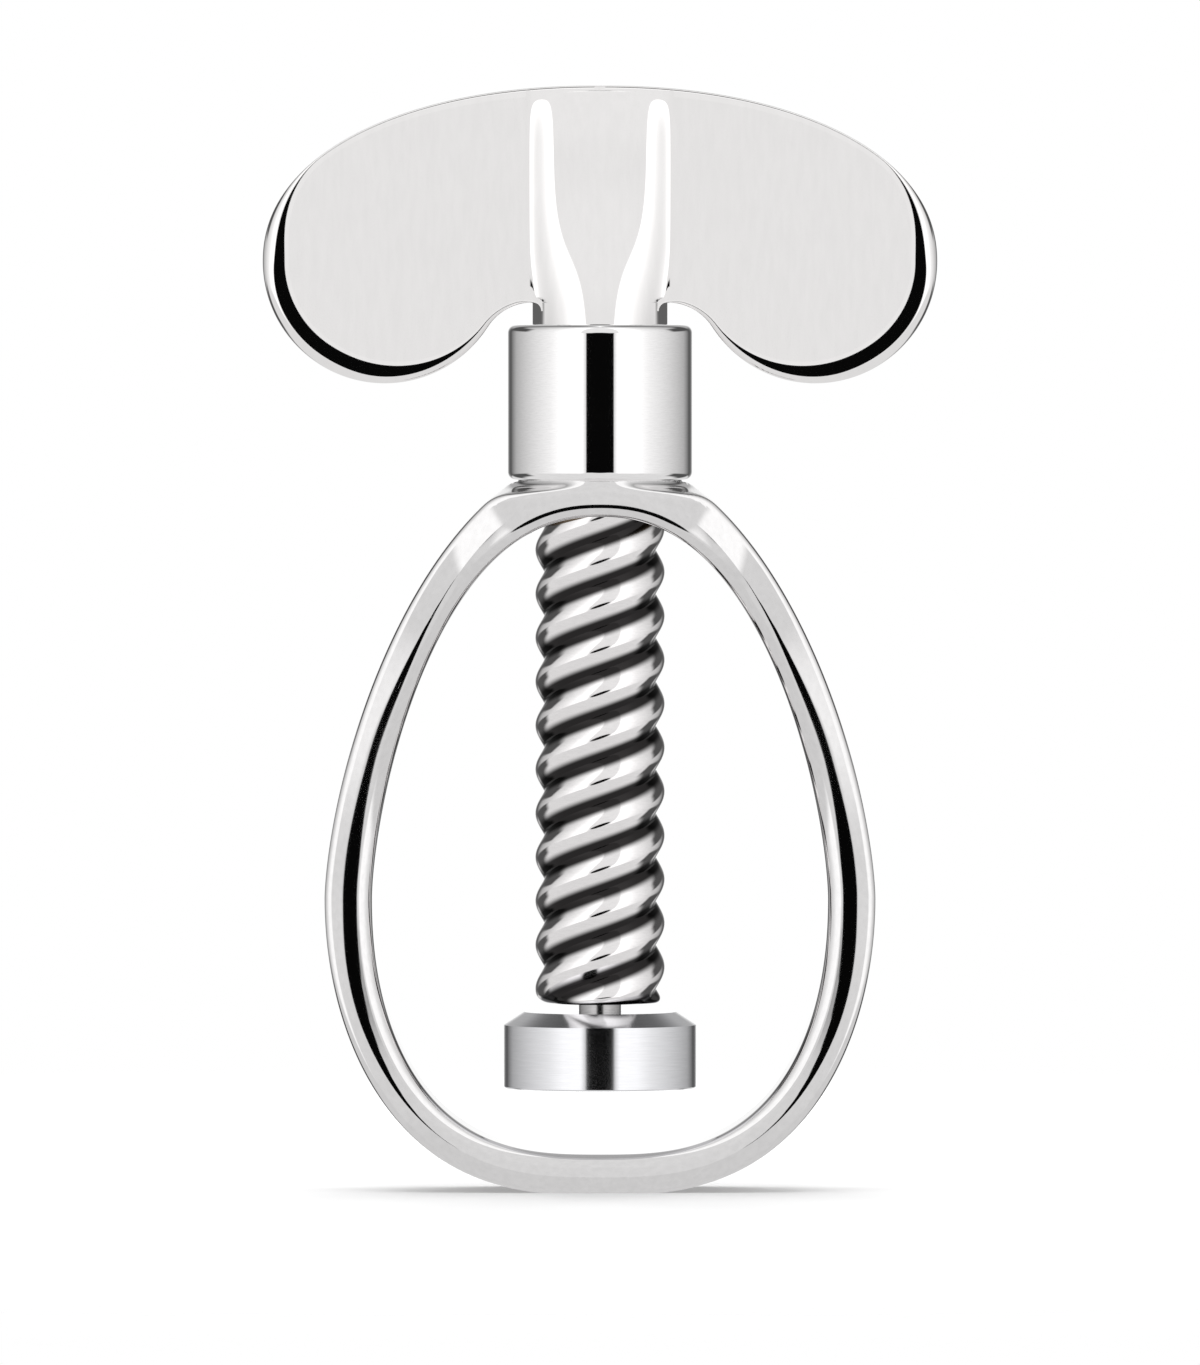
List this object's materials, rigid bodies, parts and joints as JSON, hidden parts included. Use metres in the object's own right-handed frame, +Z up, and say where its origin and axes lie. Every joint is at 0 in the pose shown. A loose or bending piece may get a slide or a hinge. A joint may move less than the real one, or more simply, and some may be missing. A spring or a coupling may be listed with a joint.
{
  "type": "screw nutcracker",
  "caption": "Screw nutcracker: turning a winged handle drives a coarse spindle through a collar and presses a swivelling disc onto a nut in an egg-shaped frame.",
  "frame": {"origin": "centre of the flat foot, on the spindle's axis, at floor level", "axes": "+Z up along the spindle's axis, +X to the viewer's right across the frame's width, -Y towards the viewer"},
  "size_m": [0.101, 0.0296, 0.1656],
  "materials": {
    "frame_chrome": "polished",
    "collar_chrome": "polished",
    "handle_chrome": "polished",
    "spindle_chrome": "polished",
    "disc_chrome": "polished rim, turned bevel",
    "bush_brass": "machined",
    "pin_steel": "ground",
    "screw_steel": "turned",
    "plate_steel": "turned",
    "washer_plastic": "moulded"
  },
  "bodies": {
    "frame": {"frame": "frame_chrome", "collar": "collar_chrome", "thread_bush": "bush_brass", "bush_key_left": "pin_steel", "bush_key_right": "pin_steel"},
    "carrier": {"thrust_washer": "washer_plastic"},
    "spindle": {"spindle": "spindle_chrome", "wing_handle": "handle_chrome", "handle_key_left": "pin_steel", "handle_key_right": "pin_steel", "swivel_screw": "screw_steel"},
    "presser": {"presser_disc": "disc_chrome", "presser_plate": "plate_steel"}
  },
  "joints": [
    {"name": "press_slide", "type": "slide", "parent": "frame", "child": "carrier", "axis": [0, 0, 1], "range_m": [0, 0.06967]},
    {"name": "spindle_turn", "type": "hinge", "parent": "carrier", "child": "spindle", "pos_m": [0, 0, 0.0186], "axis": [0, 0, 1], "range_deg": [0, 1270]},
    {"name": "disc_swivel", "type": "hinge", "parent": "carrier", "child": "presser", "pos_m": [0, 0, 0.0186], "axis": [0, 0, 1], "continuous": true}
  ],
  "couplings": [
    {"joint": "press_slide", "follows": "spindle_turn", "m_per_rad": 0.0031433}
  ]
}
